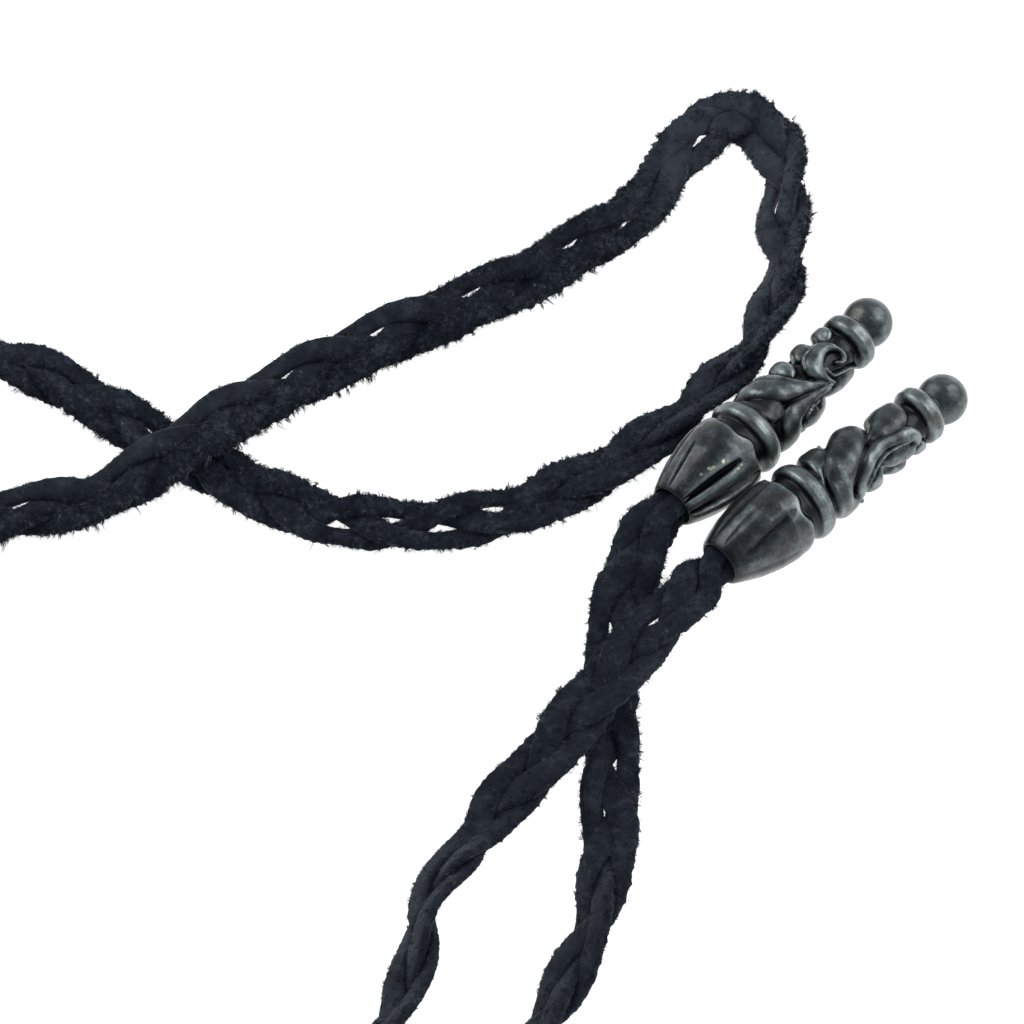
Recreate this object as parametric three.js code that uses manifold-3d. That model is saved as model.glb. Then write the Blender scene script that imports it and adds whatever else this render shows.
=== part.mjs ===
// A braided leather necklace: one long flat plait of three laces, open at both ends, with a cast
// silver end cap on each end. It lies loosely on a flat surface, doubled back on itself.
// Units are millimetres, +Z is up, and the surface is z = 0.
import * as THREE from "three";
import { mergeVertices } from "three/addons/utils/BufferGeometryUtils.js";
import Module from "manifold-3d";

const wasm = await Module();
wasm.setup();

// ---- Driving dimensions of the plait ----
const BRAID_THICKNESS = 3.1;
const BRAID_HALF_WIDTH = 3.0; // mean distance from the middle of the plait to its edge
const LOBE_SWING = 0.4; // how far a lace stands out past that, and draws in between two laces
const LOBE_PITCH = 11.5; // from one bend of a lace to the next, along one edge
const STEPS_PER_LOBE = 4;
const RIDGE_SHARE = 0.15; // rise of the lace on top, as a share of half the thickness
const THROAT_RADIUS = 1.7; // the gathered plait inside a cap
const GATHER_LENGTH = 6; // over which the flat plait draws in to that radius
const GRIP = 5; // length of plait inside each socket

// ---- Driving dimensions of an end cap, along its axis from the mouth ----
const BALL_AT = 34.7;
const BALL_RADIUS = 2.75;
const SOCKET_RADIUS = 2.0;
const SOCKET_DEPTH = 8;
const COLLAR_AT = 12.7;
const COLLAR_RADIUS = 4.45;
const RING_AT = 30.8;
const RING_RADIUS = 3.25;
const CAP_SIDES = 16;
const BALL_STEPS = 5;
const FLUTES = 9;
const FLUTE = { at: 6.2, radius: 4.75, halfLength: 4.3, halfWidth: 0.62, halfDepth: 0.75, lean: 0.17 };
const BAND_STEP = 2.5; // length of one step along a raised band
const TANGENT_SPAN = 0.01; // share of a band's length on each side that gives its direction
const SLIVER = 0.03; // joins leave slivers thinner than this, which are closed up

// A cap lies on its collar and its upper ring, so its axis falls towards the ball.
const CAP_TILT = Math.asin((COLLAR_RADIUS - RING_RADIUS) / (RING_AT - COLLAR_AT));
const MOUTH_HEIGHT = COLLAR_RADIUS / Math.cos(CAP_TILT) + COLLAR_AT * Math.sin(CAP_TILT);

// From the zero of the two tables below to the middle of the necklace's footprint.
const ORIGIN_SHIFT = { x: 32.8, y: 25.2 };

// Where each cap lies: the middle of its mouth, the way it points, and how far it is rolled over.
const CAPS = [
  { name: "end_cap_left", x: 17.4, y: -1.3, heading: 47.5, roll: 21 },
  { name: "end_cap_right", x: 22.4, y: -8.5, heading: 40.3, roll: -66 },
];

// The plait's way over the surface, from the left cap to the right one. lift is the height of its
// underside, and roll turns its upper face to the right of the way it runs, in degrees.
const ROUTE = [
  { x: 15.1, y: -4.0, lift: 3.0, roll: 0 },
  { x: 12.5, y: -9.6, lift: 0.7, roll: 0 },
  { x: 10.6, y: -21.5, lift: 0, roll: 0 },
  { x: 10.5, y: -35.5, lift: 0, roll: 8 },
  { x: 9.0, y: -48.5, lift: 0, roll: 46 },
  { x: 2.8, y: -62.3, lift: 0, roll: 48 },
  { x: -12.0, y: -85.0, lift: 0, roll: 10 },
  { x: -46.0, y: -103.5, lift: 0, roll: 0 },
  { x: -91.0, y: -91.0, lift: 0, roll: 0 },
  { x: -113.5, y: -48.5, lift: 0, roll: 0 },
  { x: -99.0, y: -2.5, lift: 0, roll: 0 },
  { x: -64.0, y: 21.0, lift: 0, roll: -18 },
  { x: -36.2, y: 7.2, lift: 0, roll: 0 },
  { x: -21.0, y: -0.6, lift: 0, roll: 14 },
  { x: -5.5, y: -1.2, lift: 0, roll: 14 },
  { x: 7.7, y: 3.9, lift: 0, roll: -6 },
  { x: 20.7, y: 13.8, lift: 0, roll: -32 },
  { x: 29.7, y: 26.0, lift: 0, roll: -46 },
  { x: 31.7, y: 42.0, lift: 0, roll: -42 },
  { x: 31.2, y: 48.2, lift: 0, roll: -34 },
  { x: 28.5, y: 52.7, lift: 0, roll: -28 },
  { x: 23.9, y: 54.1, lift: 0, roll: -14 },
  { x: 20.0, y: 50.6, lift: 0, roll: 4 },
  { x: 13.6, y: 40.2, lift: 0, roll: 2 },
  { x: 2.3, y: 31.5, lift: 0, roll: -16 },
  { x: -14.0, y: 23.1, lift: 0, roll: -18 },
  { x: -27.0, y: 15.4, lift: 0.7, roll: -8 },
  { x: -36.2, y: 7.2, lift: 3.6, roll: 0 },
  { x: -45.2, y: 2.0, lift: 0.9, roll: 0 },
  { x: -57.5, y: -0.7, lift: 0, roll: -8 },
  { x: -83.5, y: -9.5, lift: 0, roll: 0 },
  { x: -102.0, y: -44.0, lift: 0, roll: 0 },
  { x: -84.0, y: -82.5, lift: 0, roll: 0 },
  { x: -42.5, y: -90.0, lift: 0, roll: -4 },
  { x: -12.1, y: -60.5, lift: 0, roll: -48 },
  { x: -8.7, y: -47.6, lift: 0, roll: -56 },
  { x: -2.0, y: -37.9, lift: 0.7, roll: -20 },
  { x: 4.6, y: -30.5, lift: 3.4, roll: 0 },
  { x: 11.6, y: -21.4, lift: 3.6, roll: 0 },
  { x: 20.0, y: -11.5, lift: 3.8, roll: 0 },
];

// ---- The end cap's turned outline, from its mouth to the foot of the ball ----
const CAP_OUTLINE = [
  { at: 0, radius: 2.4 },
  { at: 1.6, radius: 3.05 },
  { at: 3.4, radius: 3.7 },
  { at: 5.8, radius: 4.3 },
  { at: 8.2, radius: 4.6 },
  { at: 9.9, radius: 4.5 },
  { at: 10.8, radius: 4.0 },
  { at: 11.2, radius: 3.35 },
  { at: 11.7, radius: 3.35 },
  { at: 12.0, radius: 4.1 },
  { at: COLLAR_AT - 0.3, radius: COLLAR_RADIUS - 0.05 },
  { at: COLLAR_AT + 0.3, radius: COLLAR_RADIUS - 0.05 },
  { at: 13.4, radius: 4.0 },
  { at: 13.8, radius: 3.2 },
  { at: 15.2, radius: 2.95 },
  { at: 18.5, radius: 2.95 },
  { at: 22.5, radius: 2.6 },
  { at: 26.5, radius: 2.25 },
  { at: 29.4, radius: 2.15 },
  { at: 29.8, radius: 2.8 },
  { at: RING_AT - 0.4, radius: RING_RADIUS - 0.05 },
  { at: RING_AT + 0.3, radius: RING_RADIUS - 0.05 },
  { at: 31.6, radius: 2.6 },
  { at: 32.0, radius: 1.7 },
];

// The raised scrollwork on the stem. Each band runs through its rows: at is along the axis, turn is
// round it in degrees, and wide and high are the band's half width and its rise above the stem.
const SCROLLS = {
  leaf: [
    { at: 15.6, turn: -100, wide: 0.75, high: 0.75 },
    { at: 18.4, turn: -55, wide: 1.05, high: 1.0 },
    { at: 20.9, turn: -12, wide: 1.0, high: 1.0 },
    { at: 23.8, turn: 28, wide: 0.8, high: 0.95 },
    { at: 26.2, turn: 60, wide: 0.4, high: 0.8 },
  ],
  petal: [
    { at: 25.4, turn: 56, wide: 0.45, high: 0.7 },
    { at: 22.2, turn: 44, wide: 0.85, high: 0.95 },
    { at: 18.2, turn: 30, wide: 0.85, high: 0.95 },
    { at: 16.4, turn: 22, wide: 0.35, high: 0.5 },
  ],
  sweep_low: [
    { at: 23.9, turn: 8, wide: 0.6, high: 0.7 },
    { at: 23.0, turn: 52, wide: 1.1, high: 1.05 },
    { at: 20.3, turn: 88, wide: 1.2, high: 1.1 },
    { at: 17.9, turn: 130, wide: 1.15, high: 1.1 },
    { at: 15.6, turn: 178, wide: 0.6, high: 0.9 },
  ],
  sweep_high: [
    { at: 26.2, turn: 58, wide: 0.6, high: 0.85 },
    { at: 24.0, turn: 92, wide: 1.0, high: 1.05 },
    { at: 21.0, turn: 132, wide: 1.1, high: 1.1 },
    { at: 18.2, turn: 182, wide: 0.35, high: 1.0 },
  ],
  crown: [
    { at: 28.8, turn: 40, wide: 0.6, high: 0.75 },
    { at: 27.6, turn: 88, wide: 0.85, high: 0.9 },
    { at: 24.8, turn: 132, wide: 0.85, high: 0.95 },
    { at: 21.6, turn: 172, wide: 0.3, high: 0.8 },
  ],
  foot: [
    { at: 18.2, turn: -8, wide: 0.7, high: 0.75 },
    { at: 16.6, turn: 46, wide: 1.0, high: 0.9 },
    { at: 14.6, turn: 92, wide: 0.6, high: 0.8 },
  ],
  back_low: [
    { at: 19.0, turn: -172, wide: 0.6, high: 0.8 },
    { at: 20.6, turn: -128, wide: 1.05, high: 1.0 },
    { at: 22.2, turn: -84, wide: 1.0, high: 1.0 },
    { at: 23.4, turn: -44, wide: 0.5, high: 0.8 },
  ],
  back_high: [
    { at: 22.8, turn: -160, wide: 0.6, high: 0.8 },
    { at: 25.4, turn: -98, wide: 0.95, high: 0.95 },
    { at: 26.2, turn: -52, wide: 0.7, high: 0.85 },
  ],
  back_crown: [
    { at: 26.4, turn: -168, wide: 0.6, high: 0.75 },
    { at: 28.7, turn: -100, wide: 0.75, high: 0.85 },
    { at: 28.9, turn: -58, wide: 0.45, high: 0.7 },
  ],
};

// A volute is a band that leaves its tail and winds in to its eye. start is where on the circle round
// the eye it begins, in degrees, turns is how far it winds, and radius is how far out it starts.
const VOLUTES = {
  front: { at: 27.9, turn: 6, radius: 1.6, start: 200, turns: 0.95, tail: { at: 26.0, turn: 52 } },
  back: { at: 26.6, turn: 176, radius: 1.5, start: 340, turns: 1.0, tail: { at: 28.6, turn: 120 } },
};
const VOLUTE_STEPS = 7;
const VOLUTE_TAIL = { wide: 0.45, high: 0.8 };
const VOLUTE_MOUTH = { wide: 0.5, high: 0.95 };
const VOLUTE_EYE = { wide: 0.3, high: 1.05, radius: 0.45 };

// A band's section: side is in half widths, rise is in heights, and sunk is depth below the stem.
const BAND_SECTION = [
  { side: 0, rise: 0, sunk: 0.7 },
  { side: 1, rise: 0, sunk: 0.3 },
  { side: 0.62, rise: 0.78, sunk: 0 },
  { side: 0, rise: 1, sunk: 0 },
  { side: -0.62, rise: 0.78, sunk: 0 },
  { side: -1, rise: 0, sunk: 0.3 },
];

const LEATHER = new THREE.MeshStandardMaterial({ color: 0x1d252d, roughness: 0.9, metalness: 0 });
const SILVER = new THREE.MeshStandardMaterial({ color: 0x5c625f, roughness: 0.35, metalness: 1 });

// A closed tube through rings of points, each ring counter-clockwise seen against the way it runs.
function loft(rings) {
  const sides = rings[0].length;
  const middles = [rings[0], rings[rings.length - 1]].map((ring) =>
    ring.reduce((sum, p) => sum.add(p), new THREE.Vector3()).divideScalar(sides),
  );
  const positions = [...rings.flat(), ...middles].flatMap((p) => p.toArray());
  const index = [];
  for (let row = 0; row < rings.length - 1; row++) {
    for (let side = 0; side < sides; side++) {
      const next = (side + 1) % sides;
      const a = row * sides + side;
      const b = row * sides + next;
      index.push(a, b, b + sides, a, b + sides, a + sides);
    }
  }
  const last = (rings.length - 1) * sides;
  for (let side = 0; side < sides; side++) {
    const next = (side + 1) % sides;
    index.push(rings.length * sides, next, side);
    index.push(rings.length * sides + 1, last + side, last + next);
  }
  const geometry = new THREE.BufferGeometry();
  geometry.setAttribute("position", new THREE.Float32BufferAttribute(positions, 3));
  geometry.setIndex(index);
  return geometry;
}

function toSolid(geometry) {
  const bare = geometry.clone();
  bare.deleteAttribute("normal");
  bare.deleteAttribute("uv");
  const merged = mergeVertices(bare, 1e-4);
  return new wasm.Manifold(
    new wasm.Mesh({
      numProp: 3,
      vertProperties: merged.attributes.position.array,
      triVerts: new Uint32Array(merged.index.array),
    }),
  );
}

function toGeometry(solid) {
  const mesh = solid.getMesh();
  const geometry = new THREE.BufferGeometry();
  geometry.setAttribute("position", new THREE.BufferAttribute(mesh.vertProperties, 3));
  geometry.setIndex(new THREE.BufferAttribute(mesh.triVerts, 1));
  geometry.computeVertexNormals();
  return geometry;
}

// ---- The plait ----

// Corners of the plait's section on a unit half width and half thickness: side is to its right.
const SECTION = [
  { side: 1, up: 0.05 },
  { side: 0.86, up: 0.72 },
  { side: 0.42, up: 1 },
  { side: -0.42, up: 1 },
  { side: -0.86, up: 0.72 },
  { side: -1, up: 0.05 },
  { side: -0.86, up: -0.7 },
  { side: -0.5, up: -1 },
  { side: 0.5, up: -1 },
  { side: 0.86, up: -0.7 },
];

// The section's corners where the plait is flat (gathered 0) or drawn in round (gathered 1).
function sectionAt(length, gathered) {
  const phase = Math.cos((2 * Math.PI * length) / LOBE_PITCH);
  const half = BRAID_THICKNESS / 2;
  return SECTION.map((corner, i) => {
    const edge = BRAID_HALF_WIDTH + Math.sign(corner.side) * LOBE_SWING * phase;
    const dip = (RIDGE_SHARE * (1 - Math.sign(corner.side) * phase)) / 2;
    const height = corner.up === 1 ? 1 - dip : corner.up;
    const angle = (2 * Math.PI * i) / SECTION.length;
    return {
      side: THREE.MathUtils.lerp(corner.side * edge, THROAT_RADIUS * Math.cos(angle), gathered),
      up: THREE.MathUtils.lerp(height * half, THROAT_RADIUS * Math.sin(angle), gathered),
    };
  });
}

function capPoint(cap, along) {
  const heading = THREE.MathUtils.degToRad(cap.heading);
  const flat = along * Math.cos(CAP_TILT);
  return new THREE.Vector3(
    cap.x + ORIGIN_SHIFT.x + flat * Math.cos(heading),
    cap.y + ORIGIN_SHIFT.y + flat * Math.sin(heading),
    MOUTH_HEIGHT - along * Math.sin(CAP_TILT),
  );
}

// The plait's stations: the foot of one socket, the route over the surface, the foot of the other.
function stations() {
  const half = BRAID_THICKNESS / 2;
  const [first, last] = CAPS;
  return [
    { point: capPoint(first, GRIP), roll: 0 },
    { point: capPoint(first, 0), roll: 0 },
    ...ROUTE.map((row) => ({
      point: new THREE.Vector3(row.x + ORIGIN_SHIFT.x, row.y + ORIGIN_SHIFT.y, row.lift + half),
      roll: row.roll,
    })),
    { point: capPoint(last, 0), roll: 0 },
    { point: capPoint(last, GRIP), roll: 0 },
  ];
}

// The roll part of the way t along the stations, in radians, easing from one to the next.
function rollAt(places, t) {
  const before = Math.min(Math.floor(t * (places.length - 1)), places.length - 2);
  const share = THREE.MathUtils.smoothstep(t * (places.length - 1) - before, 0, 1);
  return THREE.MathUtils.degToRad(THREE.MathUtils.lerp(places[before].roll, places[before + 1].roll, share));
}

function braid() {
  const places = stations();
  const curve = new THREE.CatmullRomCurve3(places.map((place) => place.point), false, "centripetal");
  curve.arcLengthDivisions = 40 * places.length;
  const total = curve.getLength();
  const steps = Math.round((total * STEPS_PER_LOBE) / LOBE_PITCH);
  const rings = [];
  for (let step = 0; step <= steps; step++) {
    const length = (step / steps) * total;
    const t = curve.getUtoTmapping(step / steps);
    const fromEnd = Math.min(length, total - length) - GRIP;
    const gathered = 1 - THREE.MathUtils.smoothstep(fromEnd, 0, GATHER_LENGTH);
    const centre = curve.getPoint(t);
    const run = curve.getTangent(t);
    const right = new THREE.Vector3().crossVectors(run, new THREE.Vector3(0, 0, 1)).normalize();
    const up = new THREE.Vector3().crossVectors(right, run);
    const roll = rollAt(places, t);
    const ring = sectionAt(length, gathered).map((corner) =>
      centre
        .clone()
        .addScaledVector(right, corner.side * Math.cos(roll) + corner.up * Math.sin(roll))
        .addScaledVector(up, corner.up * Math.cos(roll) - corner.side * Math.sin(roll)),
    );
    // A rolled plait stands on its lower edge, so its middle is that much higher.
    const underside = Math.min(...ring.map((corner) => corner.z));
    const lift = Math.max(centre.z - BRAID_THICKNESS / 2, 0);
    ring.forEach((corner) => {
      corner.z += (lift - underside) * (1 - gathered);
    });
    rings.push(ring.reverse());
  }
  const mesh = new THREE.Mesh(loft(rings), LEATHER);
  mesh.name = "braid";
  return mesh;
}

// ---- The end caps ----

function stemRadius(at) {
  const after = CAP_OUTLINE.findIndex((row) => row.at > at);
  const a = CAP_OUTLINE[after - 1];
  const b = CAP_OUTLINE[after];
  return THREE.MathUtils.mapLinear(at, a.at, b.at, a.radius, b.radius);
}

// A point on the cap in its own frame, with its axis along +Z and its mouth at zero.
function onStem(at, turn, rise) {
  const radius = stemRadius(at) + rise;
  return new THREE.Vector3(radius * Math.cos(turn), radius * Math.sin(turn), at);
}

// A raised band through rows of { at, turn, wide, high }: a ridge with its foot in the stem.
function band(rows) {
  const angles = rows.map((row) => THREE.MathUtils.degToRad(row.turn));
  const line = new THREE.CatmullRomCurve3(rows.map((row, i) => new THREE.Vector3(row.at, angles[i], 0)));
  const size = new THREE.CatmullRomCurve3(rows.map((row) => new THREE.Vector3(row.wide, row.high, 0)));
  const feet = rows.map((row, i) => onStem(row.at, angles[i], 0));
  const spread = feet.slice(1).reduce((sum, foot, i) => sum + foot.distanceTo(feet[i]), 0);
  const steps = Math.max(rows.length, Math.round(spread / BAND_STEP));
  const rings = [];
  for (let step = 0; step <= steps; step++) {
    const { x: at, y: turn } = line.getPoint(step / steps);
    const { x: wide, y: high } = size.getPoint(step / steps);
    const ahead = line.getPoint(Math.min(step / steps + TANGENT_SPAN, 1));
    const behind = line.getPoint(Math.max(step / steps - TANGENT_SPAN, 0));
    const run = onStem(ahead.x, ahead.y, 0).sub(onStem(behind.x, behind.y, 0)).normalize();
    const out = new THREE.Vector3(Math.cos(turn), Math.sin(turn), 0);
    const across = new THREE.Vector3().crossVectors(out, run).normalize();
    rings.push(
      BAND_SECTION.map((corner) =>
        onStem(at, turn, corner.rise * high - corner.sunk).addScaledVector(across, corner.side * wide),
      ),
    );
  }
  // Each step is a link of its own, so that a tight curl joins itself cleanly.
  return wasm.Manifold.union(rings.slice(1).map((ring, i) => toSolid(loft([rings[i], ring]))));
}

// A volute's rows: its tail, then a spiral round its eye on the stem's surface.
function voluteRows(volute) {
  const rows = [{ ...volute.tail, ...VOLUTE_TAIL }];
  for (let step = 0; step <= VOLUTE_STEPS; step++) {
    const share = step / VOLUTE_STEPS;
    const angle = THREE.MathUtils.degToRad(volute.start + 360 * volute.turns * share);
    const radius = THREE.MathUtils.lerp(volute.radius, VOLUTE_EYE.radius, share);
    const round = THREE.MathUtils.radToDeg((radius * Math.sin(angle)) / stemRadius(volute.at));
    rows.push({
      at: volute.at + radius * Math.cos(angle),
      turn: volute.turn + round,
      wide: THREE.MathUtils.lerp(VOLUTE_MOUTH.wide, VOLUTE_EYE.wide, share),
      high: THREE.MathUtils.lerp(VOLUTE_MOUTH.high, VOLUTE_EYE.high, share),
    });
  }
  return rows;
}

// The casting: a turned body with a blind socket, its flutes cut in and its scrollwork joined on.
function capSolid() {
  const outline = [
    new THREE.Vector2(0, SOCKET_DEPTH),
    new THREE.Vector2(SOCKET_RADIUS, SOCKET_DEPTH),
    new THREE.Vector2(SOCKET_RADIUS, 0),
    ...CAP_OUTLINE.map((row) => new THREE.Vector2(row.radius, row.at)),
  ];
  const neck = Math.asin(CAP_OUTLINE.at(-1).radius / BALL_RADIUS);
  for (let step = 1; step <= BALL_STEPS; step++) {
    const angle = THREE.MathUtils.lerp(Math.PI - neck, 0, step / BALL_STEPS);
    const radius = step === BALL_STEPS ? 0 : BALL_RADIUS * Math.sin(angle);
    outline.push(new THREE.Vector2(radius, BALL_AT + BALL_RADIUS * Math.cos(angle)));
  }
  let solid = toSolid(new THREE.LatheGeometry(outline, CAP_SIDES).rotateX(Math.PI / 2));
  for (let flute = 0; flute < FLUTES; flute++) {
    const cutter = new THREE.SphereGeometry(1, 8, 5)
      .scale(FLUTE.halfDepth, FLUTE.halfWidth, FLUTE.halfLength)
      .rotateY(FLUTE.lean)
      .translate(FLUTE.radius, 0, FLUTE.at)
      .rotateZ(((flute + 0.5) * 2 * Math.PI) / FLUTES);
    solid = solid.subtract(toSolid(cutter));
  }
  for (const rows of [...Object.values(SCROLLS), ...Object.values(VOLUTES).map(voluteRows)]) {
    solid = solid.add(band(rows));
  }
  // Closing the slivers can leave a crumb, so the casting is the largest body.
  const bodies = solid.simplify(SLIVER).decompose();
  return bodies.reduce((largest, body) => (body.volume() > largest.volume() ? body : largest));
}

const necklace = new THREE.Group();
necklace.add(braid());
const casting = toGeometry(capSolid());
for (const cap of CAPS) {
  const mesh = new THREE.Mesh(casting, SILVER);
  mesh.name = cap.name;
  // The cap's own +Z is laid along its heading, and its turn 0 faces up.
  const laid = new THREE.Group();
  mesh.rotation.set(0, Math.PI / 2 + CAP_TILT, 0);
  mesh.rotateZ(THREE.MathUtils.degToRad(180 + cap.roll));
  laid.add(mesh);
  laid.rotation.z = THREE.MathUtils.degToRad(cap.heading);
  laid.position.copy(capPoint(cap, 0));
  necklace.add(laid);
}

export default necklace;
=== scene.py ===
import math

import bpy
import numpy as np
from mathutils import Matrix, Vector, noise


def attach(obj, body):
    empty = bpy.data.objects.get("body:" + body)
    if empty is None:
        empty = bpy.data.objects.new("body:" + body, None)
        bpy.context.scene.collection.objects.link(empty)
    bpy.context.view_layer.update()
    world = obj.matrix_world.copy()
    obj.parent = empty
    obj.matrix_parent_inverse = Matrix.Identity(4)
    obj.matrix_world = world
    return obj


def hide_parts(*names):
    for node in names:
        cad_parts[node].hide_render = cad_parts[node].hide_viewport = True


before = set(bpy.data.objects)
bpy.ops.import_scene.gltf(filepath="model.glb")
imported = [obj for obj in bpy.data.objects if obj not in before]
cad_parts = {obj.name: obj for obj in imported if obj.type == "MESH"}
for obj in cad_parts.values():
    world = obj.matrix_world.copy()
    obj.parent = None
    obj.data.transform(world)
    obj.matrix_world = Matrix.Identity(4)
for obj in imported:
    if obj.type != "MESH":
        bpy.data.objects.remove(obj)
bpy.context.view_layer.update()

MM = 0.001

# ---- The viewer ----
# The necklace is looked at from the front and above, along +Y, from 60 degrees over the surface
# and from arm's length, so that its nearer parts are hardly larger than its farther ones.
VIEW_ELEVATION = math.radians(60)
VIEW_DISTANCE = 0.45
VIEW_CENTRE = Vector((0.0328, 0.0252, 0.0016))
VIEW_LENS = 142.4

toward_viewer = Vector((0, -math.cos(VIEW_ELEVATION), math.sin(VIEW_ELEVATION)))
bpy.ops.object.camera_add(
    location=VIEW_CENTRE + VIEW_DISTANCE * toward_viewer,
    rotation=(math.pi / 2 - VIEW_ELEVATION, 0, 0),
)
viewer = bpy.context.object
viewer.name = "viewer"
viewer.data.lens = VIEW_LENS
viewer.data.clip_start = 0.01
bpy.context.scene.camera = viewer

# ---- The plait ----
# Three soft leather laces, each cut flat and left rough at its edges, are plaited into one flat
# cord. It runs from one end cap to the other, doubled into a ring, and its ends are gathered and
# glued into the caps.
BODY = "root"
ZERO = Vector((0.0328, 0.0252, 0.0))   # the route and the caps are placed from here
PLAIT_THICKNESS = 0.0031
PLAIT_HALF_WIDTH = 0.0032
GRIP = 0.005                           # length of plait inside each cap
GATHER = 0.0042                        # over which it draws in to the cap's mouth
LOBE_PITCH = 0.0115                    # from one bend of a lace to the next, along one edge
LACE_WIDTH = 0.00295
LACE_NARROWING = 0.12                  # share by which a lace is narrower where it turns back
LACE_THICKNESS = 0.00115
LACE_CORNERS = 2 / 3.2                 # of its section: 1 for an ellipse, and squarer below that
LACE_SWING = 0.0019                    # of the lace's middle, to each side
LACE_SQUARENESS = 0.08                 # how much it hugs the edges, and hurries over the middle
LACE_LEAD = 0.06                       # how much sooner it swings out than it comes back
LACE_RISE = 0.00060                    # of the lace's middle, up and down
LACE_TILT = 0.16                       # as it crosses the plait, in radians
BUNDLE_RADIUS = 1.12 * MM              # of the laces' middles, inside the caps
BUNDLE_NARROWING = 0.20                # share by which a lace is narrower there
FRAYED_WIDENING = 0.13                 # share by which a lace is wider where it has frayed
# Spacing of each lace's rings, up to each distance: fine where the nap and the grain show most.
LACE_STEPS = [(0.071, 0.00036), (0.329, 0.0012), (0.571, 0.00036), (0.765, 0.0012), (1, 0.00036)]
LACE_SIDES = 18

# The plaiting is uneven. These tables start with the distance along the plait in millimetres:
# how far the bends have slipped along it, in millimetres, and how much the laces have frayed and
# spread along its left side.
SLIPS = [
    (0, 9.5), (21, 9.2), (37, 8.4), (70, 8.4), (300, 12), (351, 12), (376, 7.8), (387, 7.6),
    (394, 8.2), (451, 8.6), (471, 6.0), (487.5, 10.2), (507.5, 13.1), (520, 13.7), (531, 13.5),
    (567, 14.8), (760, 11), (837, 10.6),
]
FRAYED = [
    (0, 0.3), (330, 0.3), (376, 0), (400, 0), (440, 0.3), (470, 0), (485, 0.3), (489, 0.3),
    (496, 1.3), (540, 1.2), (568, 0.6), (760, 0.3), (837, 0),
]
# Where the laces are narrow the plait lets light through: the share by which they are narrower
# there, or wider where it is less than nothing.
OPENINGS = [
    (15.0, -0.12), (20.7, 0.10), (37, 0.12), (351.3, 0.14), (375.8, 0.26), (382.5, 0.27),
    (387.1, 0.25), (393.5, 0.27), (451.3, 0.18), (471.3, -0.02), (487.5, 0.14), (492.9, 0.03),
    (507.6, -0.01), (519.7, -0.01), (531.0, 0.02), (541.7, -0.06), (554.2, -0.02),
    (566.5, 0.18), (821.4, 0.13),
]
OPENING_REACH = 0.0026
# How widely the bends swing, how far to the right all three laces have drifted, and how far each
# bend bulges out on the right; then where, within what reach and how far a lace bows out on the
# left. All but the first are in millimetres.
SPREADS = [(0, 1), (462, 1), (472, 0.84), (481, 0.78), (490, 1), (837, 1)]
DRIFTS = [(0, 0), (459, 0), (470, -0.8), (482, -0.7), (493, 0), (837, 0)]
LOBED = [
    (0, 0), (490, 0), (500, 0.30), (535, 0.30), (545, 0.12), (575, 0.12), (590, 0), (837, 0),
]
BOWED_OUT = [(472.5, 5.0, 0.75), (451.3, 5.0, 0.6)]
# The flesh side of the laces is suede, and their edges have frayed: how thick the nap is along
# the plait's left side, and then along its right, where more of the smooth grain side shows.
NAP = [
    (0, 0.6, 0.55), (60, 0.5, 0.4), (75, 0.5, 0.3), (325, 0.7, 0.95), (345, 0.8, 0.95),
    (353, 0.9, 0.7), (400, 0.8, 0.7), (425, 0.5, 0.6), (440, 0.3, 0.85), (480, 0.4, 0.85),
    (488, 0.9, 0.7), (500, 1.0, 0.5), (508, 1.0, 0.45), (516, 1.0, 0.15), (545, 1.0, 0.12),
    (568, 0.9, 0.25), (600, 0.5, 0.3), (770, 0.5, 0.4), (830, 0.55, 0.5), (837, 0.6, 0.5),
]
# How far the leather is rubbed smooth and pale, and its laces lie looser.
WORN = [(0, 0), (424, 0), (436, 0.6), (452, 1), (478, 1), (488, 0.2), (500, 0), (837, 0)]

# Each end cap lies on its collar and its ring, and so it is tilted. Then come where each cap's
# mouth is, the way it points, and how far it is rolled over, in degrees.
CAP_COLLAR = (0.0127, 0.00458)         # along the cap from its mouth, and radius
CAP_RING = (0.0306, 0.00340)
CAP_TILT = math.asin((CAP_COLLAR[1] - CAP_RING[1]) / (CAP_RING[0] - CAP_COLLAR[0]))
MOUTH_HEIGHT = CAP_COLLAR[1] / math.cos(CAP_TILT) + CAP_COLLAR[0] * math.sin(CAP_TILT)
CAPS = {
    "end_cap_left": {"x": 0.0176, "y": -0.0015, "heading": 48.1, "roll": 21},
    "end_cap_right": {"x": 0.0226, "y": -0.0087, "heading": 41.0, "roll": -156},
}

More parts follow.
